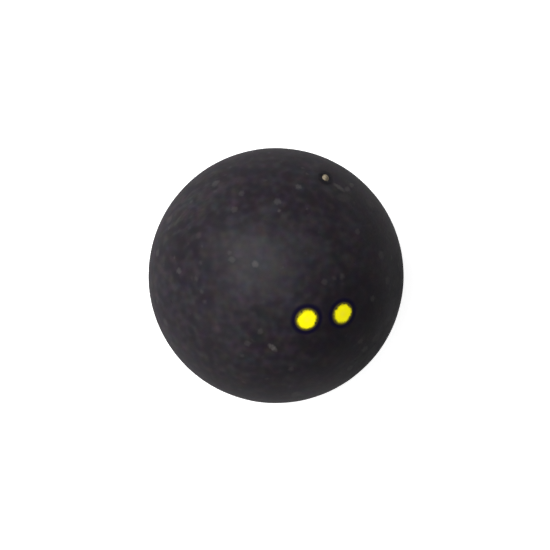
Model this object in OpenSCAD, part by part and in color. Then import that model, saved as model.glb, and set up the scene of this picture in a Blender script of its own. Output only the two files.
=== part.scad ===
// Hollow rubber squash ball. Two thick half shells are cemented rim to rim, and two ink dots are printed on the upper
// one. The origin is the ball's centre, the cemented joint lies in the plane z = 0, and +Z runs through the top.

/* [Ball] */
// Diameter over the buffed rubber
ball_d = 40; // [30:0.5:60]
// Thickness of the rubber wall
wall_t = 5.2; // [3:0.1:8]

/* [Cemented joint] */
// Thickness of the cured cement between the two flat rims
cement_t = 0.1; // [0.05:0.01:0.4]
// Diameter of the bead of cement that squeezed out inside the ball
bead_d = 0.8; // [0.5:0.1:2]

/* [Printed dots] */
// Diameter of each dot
dot_d = 3.1; // [2:0.1:5]
// Bare rubber between the two dots, measured over the surface
dot_gap = 2.6; // [0.5:0.1:6]
// Thickness of the dried ink
ink_t = 0.05; // [0.03:0.01:0.2]
// Angle from the top of the ball down to the middle of the pair
pair_tilt = 28; // [0:1:50]
// Heading of the pair from the top, anticlockwise from +X
pair_heading = -40; // [-180:1:180]
// Turn of the pair about its own middle
pair_turn = 45; // [-90:1:90]

/* [Hidden] */
// Every node's name, and the one that is drawn

// Radius of the buffed outside, and of the hollow that holds the air
ball_r = ball_d / 2;
hollow_r = ball_r - wall_t;
// Each rim stops at the cement, which is centred on the joint plane
rim_z = cement_t / 2;
// Angle at the ball's centre between the middles of the two dots
dot_spread = (dot_d + dot_gap) / ball_r * 180 / PI;
// How far a cutting shape runs past what it cuts
overrun = 1;
// Facets of the round shapes in the preview
$fn = 144;

rubber_colour = [0.215, 0.2, 0.215];
cement_colour = [0.3, 0.27, 0.25];
ink_colour = [1, 0.93, 0.09];

// The rubber wall as one closed ball, before it is parted at the joint
module rubber_wall() {
    difference() {
        sphere(r = ball_r);
        sphere(r = hollow_r);
    }
}

// The bead runs round the inside of the joint, a torus sunk halfway into the wall
module bead_torus() {
    rotate_extrude()
        translate([hollow_r, 0])
            circle(d = bead_d);
}

// A round slab, wider than the ball, from one height up to another
module slab(from_z, to_z) {
    translate([0, 0, from_z])
        cylinder(r = ball_r + overrun, h = to_z - from_z);
}

// Each half is moulded as a thick cup whose flat rim lies on the cement
module upper_half_shell() {
    color(rubber_colour)
        intersection() {
            rubber_wall();
            slab(rim_z, ball_r + overrun);
        }
}

module lower_half_shell() {
    color(rubber_colour)
        intersection() {
            rubber_wall();
            slab(-ball_r - overrun, -rim_z);
        }
}

// The cement fills the joint from the hollow to the outside, where it is buffed flush, and ends inside in the bead
module bond_ring() {
    color(cement_colour)
        union() {
            intersection() {
                rubber_wall();
                slab(-rim_z, rim_z);
            }
            intersection() {
                bead_torus();
                sphere(r = hollow_r);
            }
        }
}

// A round film of ink that follows the ball. The side is -1 for the left dot and 1 for the right one
module ink_dot(side) {
    color(ink_colour)
        rotate([0, 0, pair_heading])
            rotate([0, pair_tilt, 0])
                rotate([0, 0, pair_turn])
                    rotate([0, side * dot_spread / 2, 0])
                        intersection() {
                            difference() {
                                sphere(r = ball_r + ink_t);
                                sphere(r = ball_r);
                            }
                            cylinder(d = dot_d, h = ball_r + ink_t + overrun);
                        }
}

module left_dot() {
    ink_dot(-1);
}

module right_dot() {
    ink_dot(1);
}

upper_half_shell();
lower_half_shell();
bond_ring();
left_dot();
right_dot();
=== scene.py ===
import math

import bpy
import numpy as np
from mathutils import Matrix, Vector


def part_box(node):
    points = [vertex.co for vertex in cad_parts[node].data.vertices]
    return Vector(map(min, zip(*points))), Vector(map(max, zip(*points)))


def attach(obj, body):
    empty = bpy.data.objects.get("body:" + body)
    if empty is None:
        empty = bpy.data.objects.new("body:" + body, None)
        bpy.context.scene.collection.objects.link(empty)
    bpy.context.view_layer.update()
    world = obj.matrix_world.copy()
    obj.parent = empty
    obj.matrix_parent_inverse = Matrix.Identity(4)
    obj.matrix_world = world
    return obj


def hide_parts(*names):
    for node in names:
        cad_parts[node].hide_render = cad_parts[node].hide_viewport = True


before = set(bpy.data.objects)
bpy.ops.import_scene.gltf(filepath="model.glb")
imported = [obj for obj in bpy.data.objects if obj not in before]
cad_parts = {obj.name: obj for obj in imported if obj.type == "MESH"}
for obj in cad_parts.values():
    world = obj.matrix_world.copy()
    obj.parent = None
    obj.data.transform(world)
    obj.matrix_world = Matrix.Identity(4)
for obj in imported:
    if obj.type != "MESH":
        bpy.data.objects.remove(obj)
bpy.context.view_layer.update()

# The two half shells
# Each is a thick cup of charcoal rubber, pressed in a hot mould. Once the rims are cemented, the whole ball
# is tumbled and buffed, which leaves a matt, faintly mottled skin and softens both edges of the joint.
mm = 0.001
upper_low, upper_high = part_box("upper_half_shell")
ball_r = upper_high.z
rim_z = upper_low.z
wall_t = 5.2 * mm
hollow_r = ball_r - wall_t
skin_cuts = 151
hollow_cuts = 31
crease_angle = math.radians(40)
joint_edge_r = 0.07 * mm
cut_slack = 0.001 * mm
ripple_depth = 0.05 * mm
grain_depth = 0.012 * mm


def put_down_all():
    """Nothing is selected afterwards, and no mesh is being edited."""
    if bpy.context.object and bpy.context.object.mode != "OBJECT":
        bpy.ops.object.mode_set(mode="OBJECT")
    bpy.ops.object.select_all(action="DESELECT")


def take(*pieces):
    """Only these pieces are selected, and the first is the active one."""
    put_down_all()
    for piece in pieces:
        piece.select_set(True)
    bpy.context.view_layer.objects.active = pieces[0]


def fresh(name):
    """Names the primitive that was just added, and its mesh."""
    piece = bpy.context.object
    piece.name = piece.data.name = name
    return piece


def apply_modifier(piece, kind, **settings):
    take(piece)
    modifier = piece.modifiers.new(kind.lower(), kind)
    for name, value in settings.items():
        setattr(modifier, name, value)
    bpy.ops.object.modifier_apply(modifier=modifier.name)


def places(piece):
    """Where the vertices are, one row each."""
    at = np.empty(len(piece.data.vertices) * 3)
    piece.data.vertices.foreach_get("co", at)
    return at.reshape(-1, 3)


def put(piece, at):
    """Moves the vertices to these places."""
    piece.data.vertices.foreach_set("co", at.ravel())
    piece.data.update()


def select_in(piece, kind, chosen):
    """Selects vertices, edges or polygons by a row of true and false, and opens the mesh for editing."""
    take(piece)
    bpy.context.tool_settings.mesh_select_mode = [kind == k for k in ("vertices", "edges", "polygons")]
    bpy.ops.object.mode_set(mode="EDIT")
    bpy.ops.mesh.select_all(action="DESELECT")
    bpy.ops.object.mode_set(mode="OBJECT")
    getattr(piece.data, kind).foreach_set("select", chosen)
    bpy.ops.object.mode_set(mode="EDIT")


def round_cup(name, radius, cuts):
    """An open half ball of nearly even squares, with no pole that would pinch the grain."""
    put_down_all()
    bpy.ops.mesh.primitive_cube_add(size=2 * radius)
    cup = fresh(name)
    bpy.ops.object.mode_set(mode="EDIT")
    bpy.ops.mesh.subdivide(number_cuts=cuts)
    bpy.ops.object.mode_set(mode="OBJECT")
    put(cup, radius * np.tan(places(cup) / radius * math.pi / 4))
    apply_modifier(cup, "CAST", cast_type="SPHERE", factor=1, size=radius, use_radius_as_size=False)
    bpy.ops.object.mode_set(mode="EDIT")
    bpy.ops.mesh.select_all(action="SELECT")
    bpy.ops.mesh.bisect(plane_co=(0, 0, rim_z), plane_no=(0, 0, 1), clear_inner=True, threshold=cut_slack)
    bpy.ops.object.mode_set(mode="OBJECT")
    return cup


def turned_over(piece, name):
    """A copy of a piece for the lower half, turned half round the X axis."""
    take(piece)
    bpy.ops.object.duplicate()
    copy = fresh(name)
    bpy.ops.object.mode_set(mode="EDIT")
    bpy.ops.mesh.select_all(action="SELECT")
    bpy.ops.transform.rotate(value=math.pi, orient_axis="X", center_override=(0, 0, 0))
    put_down_all()
    return copy


upper_shell = round_cup("upper_shell", ball_r, skin_cuts)
upper_hollow = round_cup("upper_hollow", hollow_r, hollow_cuts)
lower_shell = turned_over(upper_shell, "lower_shell")
lower_hollow = turned_over(upper_hollow, "lower_hollow")

# the skin is uneven by a few hundredths of a millimetre, always inwards
ripple = bpy.data.textures.new("skin_ripple", "CLOUDS")
ripple.noise_scale = 5 * mm
ripple.noise_depth = 1
grain = bpy.data.textures.new("skin_grain", "CLOUDS")
grain.noise_scale = 1.0 * mm
grain.noise_depth = 2


def roughen(skin):
    """Sinks a skin by the ripple and the grain, which run on from one half to the other."""
    for texture, depth in ((ripple, ripple_depth), (grain, grain_depth)):
        apply_modifier(skin, "DISPLACE", texture=texture, texture_coords="LOCAL", mid_level=1, strength=depth)


def rim_edges(piece, from_r):
    """Which edges lie in the plane of the rim, no nearer to the ball's middle than this."""
    at = places(piece)
    in_plane = abs(at[:, 2]) < 1.1 * rim_z
    there = in_plane & (np.linalg.norm(at, axis=1) > from_r)
    ends = np.array([edge.vertices[:] for edge in piece.data.edges])
    return there[ends].all(1)


def close_rim(skin, hollow):
    """Turns in the edge of a skin, fills the flat rim up to the hollow, and softens the outer corner."""
    select_in(skin, "edges", rim_edges(skin, from_r=0))
    bpy.ops.mesh.extrude_edges_move(TRANSFORM_OT_translate={"value": (0, 0, 0)})
    turned_in_share = 1 - 4 * joint_edge_r / ball_r
    bpy.ops.transform.resize(value=(turned_in_share, turned_in_share, 1), center_override=(0, 0, 0))
    take(skin, hollow)
    bpy.ops.object.join()
    bpy.ops.object.mode_set(mode="EDIT")
    bpy.ops.mesh.select_all(action="DESELECT")
    bpy.ops.mesh.select_non_manifold()
    bpy.ops.mesh.fill()
    bpy.ops.mesh.select_all(action="SELECT")
    bpy.ops.mesh.normals_make_consistent(inside=False)
    put_down_all()
    select_in(skin, "edges", rim_edges(skin, from_r=ball_r - 2 * joint_edge_r))
    bpy.ops.mesh.bevel(offset=joint_edge_r, segments=2, affect="EDGES")
    put_down_all()


def at_skin(x_mm, y_mm, side=1):
    """The place on the upper half of the ball, or with side -1 on the lower half, over this x and y."""
    x, y = x_mm * mm, y_mm * mm
    return Vector((x, y, side * math.sqrt(ball_r**2 - x**2 - y**2)))


def nick(piece, place, across, depth):
    """A small chip in the skin with a raised lip, where the mesh is first made finer."""
    centres = np.empty(len(piece.data.polygons) * 3)
    piece.data.polygons.foreach_get("center", centres)
    near = np.linalg.norm(centres.reshape(-1, 3) - place, axis=1) < across
    select_in(piece, "polygons", near)
    bpy.ops.mesh.subdivide(number_cuts=3)
    put_down_all()
    at = places(piece)
    away = np.linalg.norm(at - place, axis=1) / (across / 2)
    lip = 0.3 * np.exp(-(((away - 1.1) / 0.25) ** 2))
    pit = np.exp(-((away / 0.65) ** 4))
    sink = depth * (lip - pit)
    sink[np.linalg.norm(at, axis=1) < ball_r - wall_t / 2] = 0
    put(piece, at * (1 + sink / ball_r)[:, None])


def bed_crumb(piece, place, along, length, width, height):
    """An oval crumb of grit that was pressed into a chip, and stands a little proud of the skin."""
    at = places(piece)
    offset = at - place
    lengthwise = offset @ along
    sideways = np.linalg.norm(offset - np.outer(lengthwise, along), axis=1)
    away = np.hypot(lengthwise / (length / 2), sideways / (width / 2))
    rise = height * np.sqrt(np.clip(1 - away**2, 0, 1))
    put(piece, at * (1 + rise / ball_r)[:, None])


# chips in each half: x, y and width in mm. The first of the upper half holds a crumb of tan grit
upper_chips = [
    (7.35, 14.6, 2.0),
    (-0.5, -10.5, 0.8),
    (-15.6, -3.8, 0.6),
    (11.5, 1.8, 0.5),
    (3.3, 13.1, 0.6),
]
lower_chips = [
    (6.0, -9.5, 0.8),
    (-12.4, 7.1, 0.6),
    (-3.6, -15.2, 0.9),
    (14.8, 8.3, 0.5),
    (1.2, 5.7, 0.7),
]
chip_depth_share = 0.07
halves = ((upper_shell, upper_hollow, 1, upper_chips), (lower_shell, lower_hollow, -1, lower_chips))
for shell, hollow, side, chips in halves:
    roughen(shell)
    close_rim(shell, hollow)
    for x_mm, y_mm, across_mm in chips:
        nick(shell, at_skin(x_mm, y_mm, side), across_mm * mm, across_mm * mm * chip_depth_share)
    take(shell)
    bpy.ops.object.shade_smooth_by_angle(angle=crease_angle)

# the crumb lies lengthwise down the side of the ball
grit_place = at_skin(*upper_chips[0][:2])
grit_along = Vector((0, 0, 1)).cross(grit_place).cross(grit_place).normalized()
grit_length = 1.5 * mm
grit_width = 0.85 * mm
grit_height = 0.4 * mm
bed_crumb(upper_shell, grit_place, grit_along, grit_length, grit_width, grit_height)


def node(tree, kind, feeds=None, **settings):
    """Adds a node, sets it up, and gives each input in feeds its value or a link from another socket."""
    made = tree.nodes.new("ShaderNode" + kind)
    for name, value in settings.items():
        setattr(made, name, value)
    for name, value in (feeds or {}).items():
        if isinstance(value, bpy.types.NodeSocket):
            tree.links.new(value, made.inputs[name])
        else:
            made.inputs[name].default_value = value
    return made


def maths(tree, operation, *values):
    return node(tree, "Math", dict(enumerate(values)), operation=operation).outputs[0]


def vectors(tree, operation, first, second, output="Vector"):
    return node(tree, "VectorMath", {0: first, 1: second}, operation=operation).outputs[output]


def stretched(tree, vector, by):
    return node(tree, "VectorMath", {0: vector, "Scale": by}, operation="SCALE").outputs["Vector"]


def noise(tree, position, lump, detail=2, roughness=0.5, distortion=0, output="Fac"):
    """Soft noise whose lumps are about as wide as lump."""
    feeds = {
        "Vector": position,
        "Scale": maths(tree, "DIVIDE", 1, lump),
        "Detail": detail,
        "Roughness": roughness,
        "Distortion": distortion,
    }
    return node(tree, "TexNoise", feeds).outputs[output]


def ramp(tree, value, low, high, to_low=0, to_high=1, smooth=True):
    """Carries a value from one range to another, and holds it at the ends."""
    feeds = {0: value, 1: low, 2: high, 3: to_low, 4: to_high}
    kind = "SMOOTHSTEP" if smooth else "LINEAR"
    return node(tree, "MapRange", feeds, interpolation_type=kind).outputs[0]


def mix_colour(tree, share, first, second, blend_type="MIX"):
    feeds = {0: share, 6: first, 7: second}
    return node(tree, "Mix", feeds, data_type="RGBA", blend_type=blend_type).outputs[2]


def start_group(name, inputs, outputs):
    """Starts a node group. Returns it, its inputs as sockets to read, and its outputs as sockets to feed."""
    group = bpy.data.node_groups.new(name, "ShaderNodeTree")
    for label, value in inputs.items():
        kind = "NodeSocketFloat" if isinstance(value, (int, float)) else "NodeSocketVector"
        socket = group.interface.new_socket(label, in_out="INPUT", socket_type=kind)
        socket.default_value = value
    for label in outputs:
        group.interface.new_socket(label, in_out="OUTPUT", socket_type="NodeSocketFloat")
    given = group.nodes.new("NodeGroupInput").outputs
    made = group.nodes.new("NodeGroupOutput").inputs
    return group, given, made


def use_group(tree, group, feeds):
    return node(tree, "Group", feeds, node_tree=group).outputs


def buffed_grain():
    """The fine nap that buffing leaves, as a height and as an uneven tone."""
    inputs = {"Position": (0, 0, 0), "Grain": 0.25 * mm}
    group, given, made = start_group("buffed_grain", inputs, ("Height", "Tone"))
    fine = noise(group, given["Position"], given["Grain"], detail=3, roughness=0.6)
    coarse_size = maths(group, "MULTIPLY", given["Grain"], 2.6)
    coarse = noise(group, given["Position"], coarse_size, detail=1, roughness=0.5, distortion=0.3)
    pit_scale = maths(group, "DIVIDE", 0.4, given["Grain"])
    pit_feeds = {"Vector": given["Position"], "Scale": pit_scale, "Randomness": 1}
    pit_away = node(group, "TexVoronoi", pit_feeds).outputs["Distance"]
    pit = ramp(group, pit_away, 0.05, 0.3)
    height = maths(group, "MULTIPLY_ADD", fine, 0.4, pit)
    height = maths(group, "MULTIPLY_ADD", coarse, 0.6, height)
    tone = maths(group, "MULTIPLY_ADD", coarse, 0.8, maths(group, "MULTIPLY", fine, 0.2))
    group.links.new(height, made["Height"])
    group.links.new(tone, made["Tone"])
    return group


def dust_specks():
    """Scattered flecks of dust, at most one to a cell, each with its own size and strength."""
    inputs = {"Position": (0, 0, 0), "Spacing": 2 * mm, "Share": 0.4, "Size": 0.3 * mm}
    group, given, made = start_group("dust_specks", inputs, ("Mask",))
    scale = maths(group, "DIVIDE", 1, given["Spacing"])
    cell_feeds = {"Vector": given["Position"], "Scale": scale, "Randomness": 1}
    cell = node(group, "TexVoronoi", cell_feeds).outputs
    away = maths(group, "MULTIPLY", cell["Distance"], given["Spacing"])
    luck = node(group, "SeparateColor", {0: cell["Color"]}).outputs
    size_share = ramp(group, luck["Green"], 0, 1, 0.35, 0.7, smooth=False)
    reach = maths(group, "MULTIPLY", given["Size"], size_share)
    near = ramp(group, maths(group, "DIVIDE", away, reach), 0.1, 1, 1, 0)
    picked = maths(group, "LESS_THAN", luck["Red"], given["Share"])
    strength = ramp(group, luck["Blue"], 0, 1, 0.2, 1, smooth=False)
    fleck = maths(group, "MULTIPLY", near, picked)
    group.links.new(maths(group, "MULTIPLY", fleck, strength), made["Mask"])
    return group


def stuck_fleck():
    """One soft-edged fleck of dust or lint, drawn out down the side of the ball as wiped dust is."""
    inputs = {"Position": (0, 0, 0), "Place": (0, 0, 0), "Along": (1, 0, 0), "Length": mm, "Width": mm}
    group, given, made = start_group("stuck_fleck", inputs, ("Mask",))
    offset = vectors(group, "SUBTRACT", given["Position"], given["Place"])
    drawn_down = (1, 1, 0.45)
    offset = vectors(group, "MULTIPLY", offset, drawn_down)
    lengthwise = vectors(group, "DOT_PRODUCT", offset, given["Along"], "Value")
    across = vectors(group, "SUBTRACT", offset, stretched(group, given["Along"], lengthwise))
    sideways = vectors(group, "LENGTH", across, (0, 0, 0), "Value")
    long_share = maths(group, "DIVIDE", lengthwise, given["Length"])
    wide_share = maths(group, "DIVIDE", sideways, given["Width"])
    long_squared = maths(group, "POWER", long_share, 2)
    squares = maths(group, "ADD", long_squared, maths(group, "POWER", wide_share, 2))
    half_squared = 0.5**2
    group.links.new(ramp(group, squares, 0, half_squared, 1, 0), made["Mask"])
    return group


def scuff_streaks():
    """Fine pale streaks that all run one way, round one place, where the ball rubbed on something rough."""
    inputs = {
        "Position": (0, 0, 0),
        "Place": (0, 0, 0),
        "Along": (1, 0, 0),
        "Reach": 5 * mm,
        "Streak": 0.3 * mm,
    }
    group, given, made = start_group("scuff_streaks", inputs, ("Mask",))
    lengthwise = vectors(group, "DOT_PRODUCT", given["Position"], given["Along"], "Value")
    pushed_back = stretched(group, given["Along"], maths(group, "MULTIPLY", lengthwise, -0.6))
    squashed = vectors(group, "ADD", given["Position"], pushed_back)
    streaks = noise(group, squashed, given["Streak"], detail=2, roughness=0.6)
    streaks = ramp(group, streaks, 0.46, 0.68)
    away = vectors(group, "DISTANCE", given["Position"], given["Place"], "Value")
    patch = ramp(group, maths(group, "DIVIDE", away, given["Reach"]), 0.3, 1, 1, 0)
    group.links.new(maths(group, "MULTIPLY", streaks, patch), made["Mask"])
    return group


# flecks on the printed side: x and y of the middle, length and width in mm, turn in degrees, and how pale
stuck_flecks = [
    (-0.5, -10.5, 2.1, 1.0, -40, 0.62),
    (3.3, 13.1, 1.2, 1.0, 0, 0.40),
    (-3.0, 1.7, 1.3, 1.2, 0, 0.42),
    (-14.4, 0.7, 1.3, 1.1, 90, 0.30),
    (9.4, 13.2, 2.6, 0.9, -36, 0.46),
    (10.7, 13.0, 1.5, 1.1, 38, 0.38),
    (11.4, 13.7, 1.5, 1.1, 38, 0.34),
    (10.1, 11.6, 3.6, 1.8, 0, 0.17),
    (0.2, 10.8, 1.4, 1.3, 0, 0.27),
    (-9.1, 13.8, 1.7, 1.2, 40, 0.26),
    (15.7, 3.1, 1.6, 1.4, 101, 0.28),
    (-6.1, 9.7, 1.3, 1.2, 32, 0.23),
    (-2.3, -8.1, 1.3, 1.0, 60, 0.21),
    (-6.4, 2.3, 1.3, 1.2, 0, 0.24),
    (7.0, -0.9, 1.3, 1.2, 0, 0.21),
    (14.3, -3.4, 1.2, 1.1, 77, 0.30),
    (-4.2, -9.9, 1.4, 1.2, 0, 0.24),
    (12.0, 6.5, 1.2, 1.1, 119, 0.27),
    (-5.1, 12.1, 1.2, 1.1, 23, 0.22),
    (-11.4, 5.9, 1.4, 1.2, 62, 0.12),
    (12.6, -9.8, 1.2, 1.1, 51, 0.24),
    (-18.0, 3.5, 1.6, 1.2, 79, 0.22),
    (-16.2, 8.5, 1.9, 1.3, 62, 0.18),
    (14.3, 10.9, 2.2, 1.8, 127, 0.20),
    (15.2, -9.4, 2.2, 1.7, 58, 0.22),
    (3.1, -18.0, 2.0, 1.6, 10, 0.22),
    (-16.8, -7.1, 1.5, 1.2, 113, 0.20),
    (13.4, -11.1, 1.5, 1.2, 40, 0.26),
    (11.2, -14.0, 1.4, 1.2, 50, 0.26),
    (16.7, -0.7, 1.5, 1.3, 90, 0.24),
    (2.2, -13.8, 1.1, 1.0, 0, 0.22),
]

# patches of painted shade on the printed side: x, y and reach in mm, and how much darker
painted_shade_patches = [
    (12.0, -7.5, 13.0, 0.5),
    (-11.0, 4.5, 8.0, 0.2),
    (19.5, -1.0, 9.0, 0.75),
    (15.1, -12.0, 10.0, 0.75),
]

# scuffs: side of the ball, x and y of the middle, the direction they run in, reach in mm, and strength
scuffs = [
    (1, -13.0, 11.0, (0.74, 0.55, 0.38), 9.0, 0.32),
    (1, 13.0, -11.5, (0.6, 0.7, 0.0), 7.0, 0.25),
    (-1, 9.0, 6.0, (0.8, -0.6, 0.1), 8.0, 0.3),
    (-1, -10.0, -9.0, (0.2, 0.9, -0.3), 7.0, 0.3),
]

# the bloom carries a painted highlight, which is strongest round this place, x and y in mm, and gone at this
# reach
highlight_middle_mm = (0.5, 1.5)
highlight_r = 13 * mm

# how wide the mottling, the blotches, the patches of hue, the clouds of bloom and the scuffs' streaks are
mottle_across = 1.15 * mm
blotch_across = 3.2 * mm
hue_across = 1.7 * mm
cloud_across = 6 * mm
streak_across = 1.4 * mm
hue_strength = 0.78

dark_rubber = (0.0128, 0.0102, 0.0143, 1)
pale_rubber = (0.0330, 0.0283, 0.0340, 1)
bloom_and_highlight_colour = (0.045, 0.0415, 0.0475, 1)
painted_shade_colour = (0.005, 0.004, 0.0065, 1)
scuff_colour = (0.056, 0.053, 0.052, 1)
dust_colour = (0.104, 0.096, 0.094, 1)
chip_shade_colour = (0.006, 0.005, 0.008, 1)
grit_colour = (0.32, 0.27, 0.19, 1)
soaked_colour = (0.0035, 0.0022, 0.0175, 1)
stain_colour = (0.45, 0.38, 0.01, 1)


def buffed_rubber(grain_group):
    """Charcoal rubber, purplish where dark and greyer where pale, with bloom, scuffs and dust in its nap, and
    with a painted highlight near the middle and painted shade in patches and in the chip.
    """
    dust_group = dust_specks()
    fleck_group = stuck_fleck()
    scuff_group = scuff_streaks()
    material = bpy.data.materials.new("buffed_rubber")
    material.use_nodes = True
    tree = material.node_tree
    surface = tree.nodes["Principled BSDF"]
    position = node(tree, "TexCoord").outputs["Object"]

    # mottling, drawn out a little down the sides of the ball as the buffing leaves it
    skin = use_group(tree, grain_group, {"Position": position, "Grain": 0.24 * mm})
    drawn_down = vectors(tree, "MULTIPLY", position, (1, 1, 0.65))
    mottle = noise(tree, drawn_down, mottle_across, detail=0)
    blotch = noise(tree, drawn_down, blotch_across, distortion=0.5)
    uneven = maths(tree, "MULTIPLY_ADD", skin["Tone"], 0.05, maths(tree, "MULTIPLY", mottle, 0.51))
    uneven = maths(tree, "MULTIPLY_ADD", blotch, 0.4, uneven)
    body = mix_colour(tree, ramp(tree, uneven, 0.325, 0.78), dark_rubber, pale_rubber)

    # bloom with a painted highlight in it, patches of painted shade, and scuffs
    # painted highlight: the rubber is made paler round the place where the light's highlight falls, and the
    # bloom's clouds break it up
    highlight_away = vectors(tree, "DISTANCE", position, at_skin(*highlight_middle_mm), "Value")
    bloom_and_highlight = ramp(tree, highlight_away, 0, highlight_r, 0.16, -0.14)
    bloom_and_highlight = maths(tree, "ADD", noise(tree, position, cloud_across, detail=3, roughness=0.6), bloom_and_highlight)
    body = mix_colour(tree, ramp(tree, bloom_and_highlight, 0.36, 0.8, 0, 0.4), body, bloom_and_highlight_colour)
    painted_shade = 0
    # painted shade: each patch darkens the rubber's colour where the light falls off
    for x_mm, y_mm, reach_mm, share in painted_shade_patches:
        reach = reach_mm * mm
        painted_shade_away = vectors(tree, "DISTANCE", position, at_skin(x_mm, y_mm), "Value")
        patch = ramp(tree, painted_shade_away, 0.2 * reach, reach, share, 0)
        painted_shade = maths(tree, "MAXIMUM", painted_shade, patch)
    body = mix_colour(tree, painted_shade, body, painted_shade_colour)
    for side, x_mm, y_mm, along, reach_mm, strength in scuffs:
        feeds = {
            "Position": position,
            "Place": at_skin(x_mm, y_mm, side),
            "Along": Vector(along).normalized(),
            "Reach": reach_mm * mm,
            "Streak": streak_across,
        }
        streaks = use_group(tree, scuff_group, feeds)["Mask"]
        body = mix_colour(tree, maths(tree, "MULTIPLY", streaks, strength), body, scuff_colour)

    # a faint cast that wanders between purple, green, blue and tan
    hues = noise(tree, drawn_down, hue_across, roughness=0.6, output="Color")
    cast = vectors(tree, "ADD", stretched(tree, hues, hue_strength), (1 - hue_strength / 2,) * 3)
    body = mix_colour(tree, 1, body, cast, "MULTIPLY")

    # dust, with edges that a fine noise frays
    frayed = vectors(tree, "SUBTRACT", noise(tree, position, 0.35 * mm, output="Color"), (0.5, 0.5, 0.5))
    frayed = vectors(tree, "ADD", position, stretched(tree, frayed, 0.5 * mm))
    fine_feeds = {"Position": frayed, "Spacing": 1.9 * mm, "Share": 0.55, "Size": 0.8 * mm}
    fine_dust = maths(tree, "MULTIPLY", use_group(tree, dust_group, fine_feeds)["Mask"], 0.23)
    big_feeds = {"Position": frayed, "Spacing": 4.5 * mm, "Share": 0.5, "Size": 1.05 * mm}
    big_dust = maths(tree, "MULTIPLY", use_group(tree, dust_group, big_feeds)["Mask"], 0.35)
    dust = maths(tree, "MAXIMUM", fine_dust, big_dust)
    for x_mm, y_mm, long_mm, wide_mm, turn, pale in stuck_flecks:
        turn = math.radians(turn)
        feeds = {
            "Position": frayed,
            "Place": at_skin(x_mm, y_mm),
            "Along": Vector((math.cos(turn), math.sin(turn), 0)),
            "Length": long_mm * mm,
            "Width": wide_mm * mm,
        }
        fleck = maths(tree, "MULTIPLY", use_group(tree, fleck_group, feeds)["Mask"], pale)
        dust = maths(tree, "MAXIMUM", dust, fleck)
    body = mix_colour(tree, dust, body, dust_colour)

    # the crumb of grit, and painted shade in the chip that it sits in
    grit_middle = grit_place * (1 + grit_height / 2 / ball_r)
    grit_feeds = {"Position": position, "Place": grit_middle, "Along": (0, 1, 0)}
    chip_shade_feeds = grit_feeds | {"Length": 3.6 * mm, "Width": 2.9 * mm}
    crumb_feeds = grit_feeds | {"Length": 1.9 * mm, "Width": 1.55 * mm}
    chip = use_group(tree, fleck_group, chip_shade_feeds)["Mask"]
    crumb = use_group(tree, fleck_group, crumb_feeds)["Mask"]
    # painted shade: the chip round the crumb is darkened as a recess in shadow
    body = mix_colour(tree, ramp(tree, chip, 0, 0.6, 0, 0.85), body, chip_shade_colour)
    body = mix_colour(tree, ramp(tree, crumb, 0.4, 0.75), body, grit_colour)

    # ink has soaked into the nap round each dot: its clear part darkens it, and some yellow stains the edge
    dots = [sum(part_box(dot), Vector((0, 0, 0))) / 2 for dot in ("left_dot", "right_dot")]
    to_dots = [vectors(tree, "DISTANCE", position, dot, "Value") for dot in dots]
    to_dot = maths(tree, "MINIMUM", *to_dots)
    soaked = ramp(tree, to_dot, 2.1 * mm, 2.65 * mm, 0.9, 0)
    body = mix_colour(tree, soaked, body, soaked_colour)
    stained = ramp(tree, to_dot, 1.5 * mm, 1.9 * mm, 0.3, 0)
    body = mix_colour(tree, stained, body, stain_colour)
    tree.links.new(body, surface.inputs["Base Color"])

    # the skin has a faint broad gloss, which is duller in the patches of painted shade, in the chip's painted
    # shade and where soaked
    tree.links.new(ramp(tree, skin["Tone"], 0.3, 0.7, 0.52, 0.66), surface.inputs["Roughness"])
    surface.inputs["Specular IOR Level"].default_value = 0
    gloss = ramp(tree, mottle, 0.3, 0.7, 0.165, 0.135)
    dulled = maths(tree, "MAXIMUM", maths(tree, "MAXIMUM", soaked, chip), painted_shade)
    gloss = maths(tree, "MULTIPLY", gloss, ramp(tree, dulled, 0, 1, 1, 0.6, smooth=False))
    tree.links.new(gloss, surface.inputs["Coat Weight"])
    surface.inputs["Coat Roughness"].default_value = 0.42
    height = maths(tree, "ADD", skin["Height"], maths(tree, "MULTIPLY", dust, 0.8))
    bump = node(tree, "Bump", {"Height": height, "Strength": 0.25, "Distance": 0.02 * mm})
    tree.links.new(bump.outputs["Normal"], surface.inputs["Normal"])
    return material


grain_group = buffed_grain()
rubber = buffed_rubber(grain_group)
for shell, half in ((upper_shell, "upper_half_shell"), (lower_shell, "lower_half_shell")):
    shell.data.materials.append(rubber)
    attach(shell, "root")
    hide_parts(half)

# The cemented joint
# A film of rubber cement, brushed on both roughened rims and cured between them. Outside it is buffed down
# almost flush with the rubber, and inside the squeezed-out cement has dried as a bead round the hollow.
film_r = ball_r - joint_edge_r
bead_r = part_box("bond_ring")[1].z
bead_steps = 8
ring_steps = 720
dark_cement = (0.0040, 0.0034, 0.0034, 1)
pale_cement = (0.0120, 0.0104, 0.0096, 1)


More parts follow.
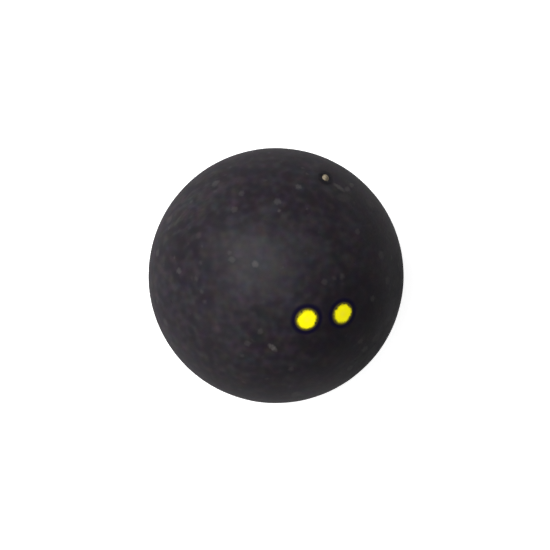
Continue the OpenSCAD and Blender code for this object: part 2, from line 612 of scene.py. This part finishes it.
def turned_ring(name, outline, steps):
    """A closed ring whose section has these corners, each a distance from the axis and a height."""
    put_down_all()
    bpy.ops.mesh.primitive_circle_add(vertices=steps, radius=outline[0][0], location=(0, 0, outline[0][1]))
    ring = fresh(name)
    bpy.ops.object.transform_apply(location=True)
    bpy.ops.object.mode_set(mode="EDIT")
    bpy.ops.mesh.select_all(action="SELECT")
    for (r, z), (next_r, next_z) in zip(outline, outline[1:] + outline[:1]):
        bpy.ops.mesh.extrude_edges_move(TRANSFORM_OT_translate={"value": (0, 0, next_z - z)})
        bpy.ops.transform.resize(value=(next_r / r, next_r / r, 1), center_override=(0, 0, 0))
    bpy.ops.mesh.select_all(action="SELECT")
    bpy.ops.mesh.remove_doubles(threshold=mm / 1000)
    bpy.ops.mesh.normals_make_consistent(inside=False)
    bpy.ops.object.mode_set(mode="OBJECT")
    return ring


bead_outline = [
    (hollow_r - bead_r * math.sin(turn), bead_r * math.cos(turn))
    for turn in (math.pi * step / bead_steps for step in range(bead_steps + 1))
]
film_outline = [(hollow_r, -rim_z), (film_r, -rim_z), (film_r, rim_z), (hollow_r, rim_z)]
cement_ring = turned_ring("cement_ring", bead_outline + film_outline, ring_steps)
bpy.ops.object.shade_smooth_by_angle(angle=crease_angle)


def dried_cement(grain_group):
    """Cured rubber solution, dark brown, and smoother than the rubber."""
    material = bpy.data.materials.new("dried_cement")
    material.use_nodes = True
    tree = material.node_tree
    surface = tree.nodes["Principled BSDF"]
    position = node(tree, "TexCoord").outputs["Object"]
    skin = use_group(tree, grain_group, {"Position": position, "Grain": 0.5 * mm})
    patchy = ramp(tree, skin["Tone"], 0.35, 0.65)
    body = mix_colour(tree, patchy, dark_cement, pale_cement)
    tree.links.new(body, surface.inputs["Base Color"])
    tree.links.new(ramp(tree, skin["Tone"], 0.3, 0.7, 0.5, 0.65), surface.inputs["Roughness"])
    surface.inputs["Specular IOR Level"].default_value = 0.08
    bump = node(tree, "Bump", {"Height": skin["Height"], "Strength": 0.3, "Distance": 0.02 * mm})
    tree.links.new(bump.outputs["Normal"], surface.inputs["Normal"])
    return material


cement_ring.data.materials.append(dried_cement(grain_group))
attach(cement_ring, "root")
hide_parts("bond_ring")

# The two printed dots
# Bright yellow ink, pad-printed on the finished ball in one press. Each dot is a thin film with a rounded
# rim, a little thicker just inside it, not quite round, and it thins out to a clear dark edge.
dot_r = 3.1 * mm / 2
ink_t = 0.04 * mm
ink_foot = ripple_depth + grain_depth
dot_steps = 120
dot_rings = 16
lip_share = 0.84
lip_width_share = 0.08
lip_t = 0.012 * mm
edge_wander = 0.07 * mm
deep_yellow = (0.81, 0.68, 0.003, 1)
bright_yellow = (0.88, 0.80, 0.007, 1)
middle_yellow = (0.83, 0.74, 0.03, 1)
clear_ink = (0.010, 0.009, 0.012, 1)
middle_painted_glow = (0.75, 0.68, 0.02, 1)
outer_painted_glow = (1.0, 0.97, 0.0, 1)

wander = bpy.data.textures.new("ink_edge", "CLOUDS")
wander.cloud_type = "COLOR"
wander.noise_scale = 1.2 * mm
wander.noise_depth = 1


def ink_film(name, cad_dot):
    """A round film on the skin, where the node that it stands for lies. Its foot is just under the skin."""
    toward = sum(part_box(cad_dot), Vector((0, 0, 0))).normalized()
    put_down_all()
    bpy.ops.mesh.primitive_circle_add(vertices=dot_steps, radius=dot_r, location=(0, 0, ball_r))
    film = fresh(name)
    bpy.ops.object.transform_apply(location=True)
    bpy.ops.object.mode_set(mode="EDIT")
    bpy.ops.mesh.select_all(action="SELECT")
    for ring in range(dot_rings, 1, -1):
        bpy.ops.mesh.extrude_edges_move(TRANSFORM_OT_translate={"value": (0, 0, 0)})
        bpy.ops.transform.resize(value=((ring - 1) / ring,) * 3, center_override=(0, 0, ball_r))
    bpy.ops.mesh.edge_face_add()
    bpy.ops.mesh.poke()
    bpy.ops.mesh.select_all(action="SELECT")
    bpy.ops.mesh.normals_make_consistent(inside=False)
    bpy.ops.object.mode_set(mode="OBJECT")
    across = np.hypot(*places(film).T[:2]) / dot_r
    film.data.attributes.new("across", "FLOAT", "POINT").data.foreach_set("value", across)
    film.rotation_euler = Vector((0, 0, 1)).rotation_difference(toward).to_euler()
    take(film)
    bpy.ops.object.transform_apply(location=True, rotation=True)
    apply_modifier(
        film,
        "DISPLACE",
        texture=wander,
        texture_coords="LOCAL",
        direction="RGB_TO_XYZ",
        strength=2 * edge_wander,
    )
    top_r = ball_r + ink_t
    apply_modifier(film, "CAST", cast_type="SPHERE", factor=1, size=top_r, use_radius_as_size=False)
    lip = lip_t * np.exp(-(((across - lip_share) / lip_width_share) ** 2))
    put(film, places(film) * (1 + (lip - lip_t) / ball_r)[:, None])
    apply_modifier(film, "SOLIDIFY", thickness=ink_t + ink_foot, offset=-1)
    apply_modifier(film, "BEVEL", width=ink_t, segments=3, limit_method="ANGLE", angle_limit=crease_angle)
    bpy.ops.object.shade_smooth_by_angle(angle=math.radians(60))
    return film


def yellow_ink(grain_group):
    """Yellow ink with a painted glow, which makes it brighter than its light, and clear at its thin edge."""
    material = bpy.data.materials.new("yellow_ink")
    material.use_nodes = True
    tree = material.node_tree
    surface = tree.nodes["Principled BSDF"]
    position = node(tree, "TexCoord").outputs["Object"]
    across = node(tree, "Attribute", attribute_name="across").outputs["Fac"]
    skin = use_group(tree, grain_group, {"Position": position, "Grain": 0.26 * mm})
    frayed = maths(tree, "MULTIPLY_ADD", maths(tree, "SUBTRACT", skin["Tone"], 0.5), 0.5, across)
    cover = ramp(tree, frayed, 0.7, 1.055, 1, 0)
    ink = mix_colour(tree, ramp(tree, skin["Tone"], 0.35, 0.65), deep_yellow, bright_yellow)
    ink = mix_colour(tree, ramp(tree, across, 0, 0.4, 0.7, 0), ink, middle_yellow)
    body = mix_colour(tree, cover, clear_ink, ink)
    # painted glow: the ink gives off light of its own, more towards its rim, so the dots stay bright where
    # the lamps light them less
    glow = mix_colour(tree, ramp(tree, across, 0, 0.5), middle_painted_glow, outer_painted_glow)
    glow = mix_colour(tree, cover, (0, 0, 0, 1), glow)
    tree.links.new(body, surface.inputs["Base Color"])
    tree.links.new(glow, surface.inputs["Emission Color"])
    surface.inputs["Emission Strength"].default_value = 0.38
    tree.links.new(ramp(tree, skin["Tone"], 0.3, 0.7, 0.42, 0.55), surface.inputs["Roughness"])
    surface.inputs["Specular IOR Level"].default_value = 0.15
    bump = node(tree, "Bump", {"Height": skin["Height"], "Strength": 0.35, "Distance": 0.02 * mm})
    tree.links.new(bump.outputs["Normal"], surface.inputs["Normal"])
    return material


ink = yellow_ink(grain_group)
for name, cad_dot in (("left_ink_dot", "left_dot"), ("right_ink_dot", "right_dot")):
    film = ink_film(name, cad_dot)
    film.data.materials.append(ink)
    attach(film, "root")
    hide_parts(cad_dot)

# The studio
# The ball lies on a white sweep, and the camera looks straight down on its dotted half. Three soft lamps
# stand up and to the left of the picture, and a fourth low down to the left. The sweep shows white to the
# camera and still takes the ball's shadow.
floor_half = 1.5
sweep_white = 0.62
glow_near = 0.88
glow_near_r = 0.06
glow_far_r = 0.3

put_down_all()
bpy.ops.mesh.primitive_plane_add(size=2 * floor_half, location=(0, 0, -ball_r))
floor = fresh("floor")
bpy.ops.object.transform_apply(location=True)


def seen_directly(tree):
    """1 for what the camera sees, straight, mirrored or through glass, and 0 for light that only bounces."""
    path = node(tree, "LightPath").outputs
    mirrored = maths(tree, "MAXIMUM", path["Is Glossy Ray"], path["Is Transmission Ray"])
    return maths(tree, "MAXIMUM", path["Is Camera Ray"], mirrored)


sweep = bpy.data.materials.new("white_sweep")
sweep.use_nodes = True
tree = sweep.node_tree
surface = tree.nodes["Principled BSDF"]
surface.inputs["Base Color"].default_value = (sweep_white, sweep_white, sweep_white, 1)
surface.inputs["Roughness"].default_value = 1
surface.inputs["Specular IOR Level"].default_value = 0
surface.inputs["Emission Color"].default_value = (1, 1, 1, 1)
floor_place = node(tree, "TexCoord").outputs["Object"]
away = vectors(tree, "LENGTH", floor_place, (0, 0, 0), "Value")
glow = ramp(tree, away, glow_near_r, glow_far_r, glow_near, 1)
tree.links.new(maths(tree, "MULTIPLY", glow, seen_directly(tree)), surface.inputs["Emission Strength"])
floor.data.materials.append(sweep)

room_light = 0.03
world = bpy.data.worlds.new("white_room")
bpy.context.scene.world = world
world.use_nodes = True
tree = world.node_tree
air = tree.nodes["Background"]
air.inputs["Color"].default_value = (1, 1, 1, 1)
tree.links.new(ramp(tree, seen_directly(tree), 0, 1, room_light, 1, smooth=False), air.inputs["Strength"])


def soft_lamp(name, toward, distance, across, power):
    """A square soft box that faces the ball and isn't seen itself."""
    put_down_all()
    toward = Vector(toward).normalized()
    turn = toward.to_track_quat("Z", "Y").to_euler()
    bpy.ops.object.light_add(type="AREA", location=toward * distance, rotation=turn)
    lamp = bpy.context.object
    lamp.name = lamp.data.name = name
    lamp.data.size = across
    lamp.data.energy = power
    lamp.visible_camera = False


soft_lamp("key_lamp", (-0.30, 0.17, 0.94), distance=0.6, across=0.4, power=2.5)
soft_lamp("wing_lamp", (-0.58, 0.31, 0.75), distance=0.6, across=0.4, power=1.8)
soft_lamp("side_lamp", (-0.75, 0.45, 0.50), distance=0.6, across=0.3, power=0.8)
soft_lamp("fill_lamp", (-0.70, -0.60, 0.40), distance=0.6, across=0.3, power=0.8)

# the camera looks straight down, and stands a hair off the ball's axis, as the photo was framed
lens_mm = 100
sensor_mm = 36
image_px = 550
ball_middle_px = (276.04, 275.57)
ball_across_px = 255.7
focal_px = lens_mm / sensor_mm * image_px
limb_slope = ball_across_px / 2 / focal_px
camera_away = ball_r * math.sqrt(1 + 1 / limb_slope**2)
shift_x, shift_y = ((middle - image_px / 2) / focal_px * camera_away for middle in ball_middle_px)
put_down_all()
bpy.ops.object.camera_add(location=(-shift_x, shift_y, camera_away), rotation=(0, 0, 0))
camera = bpy.context.object
camera.data.lens = lens_mm
camera.data.sensor_width = sensor_mm
camera.data.clip_start = ball_r / 10
bpy.context.scene.camera = camera
bpy.context.scene.view_settings.view_transform = "Standard"
